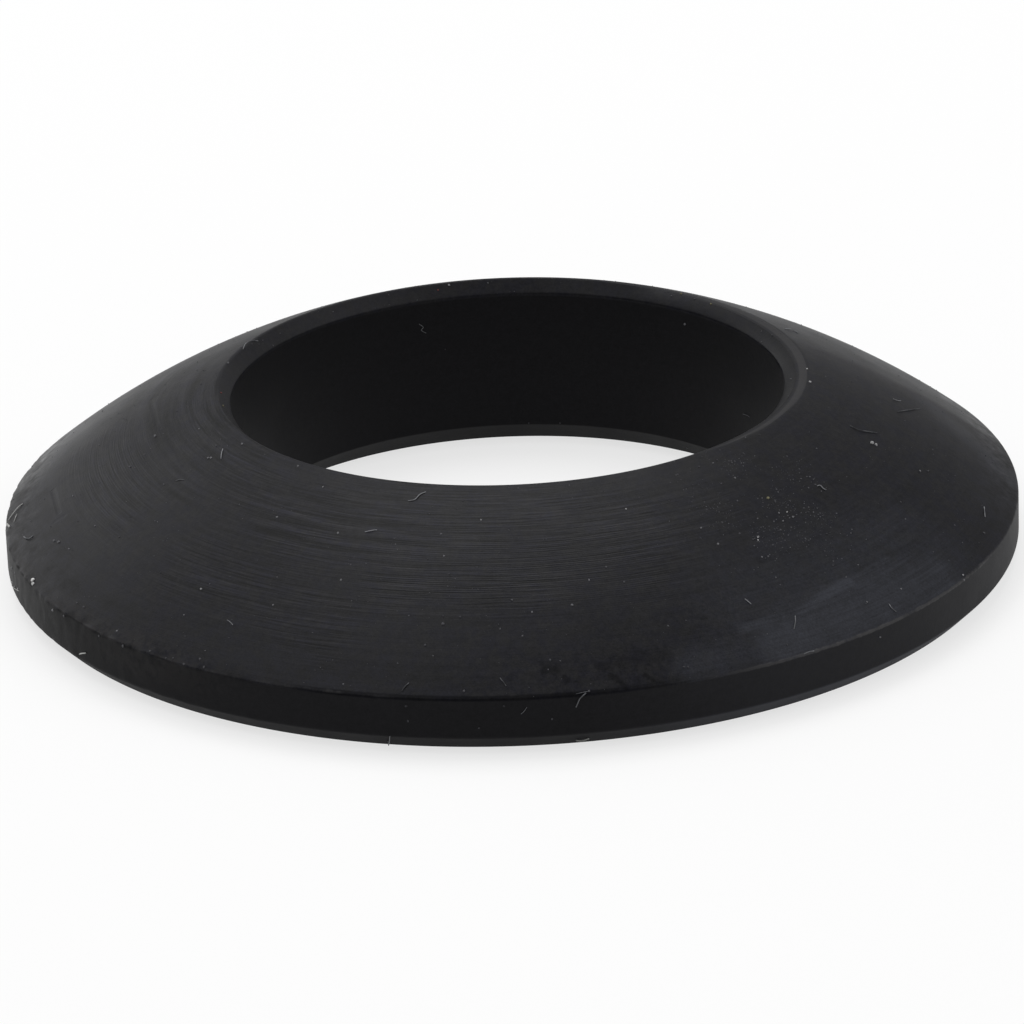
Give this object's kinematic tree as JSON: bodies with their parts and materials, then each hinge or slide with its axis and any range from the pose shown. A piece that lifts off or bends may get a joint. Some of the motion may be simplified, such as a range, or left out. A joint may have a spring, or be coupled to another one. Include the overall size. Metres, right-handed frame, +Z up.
{
  "type": "spherical washer",
  "caption": "Turned steel ring washer with a convex spherical seat on top, a flat underside and a chamfered bore, finished in black oxide.",
  "frame": {"origin": "on the bore axis, at the flat underside", "axes": "+Z up along the bore axis, towards the spherical seat; +X towards the side where the top edge is rubbed flat"},
  "size_m": [0.024, 0.024, 0.0043],
  "materials": {
    "black_oxide_steel": "turned, black oxide, satin to matt, dusty"
  },
  "bodies": {
    "root": {"spherical_washer": "black_oxide_steel"}
  },
  "joints": []
}
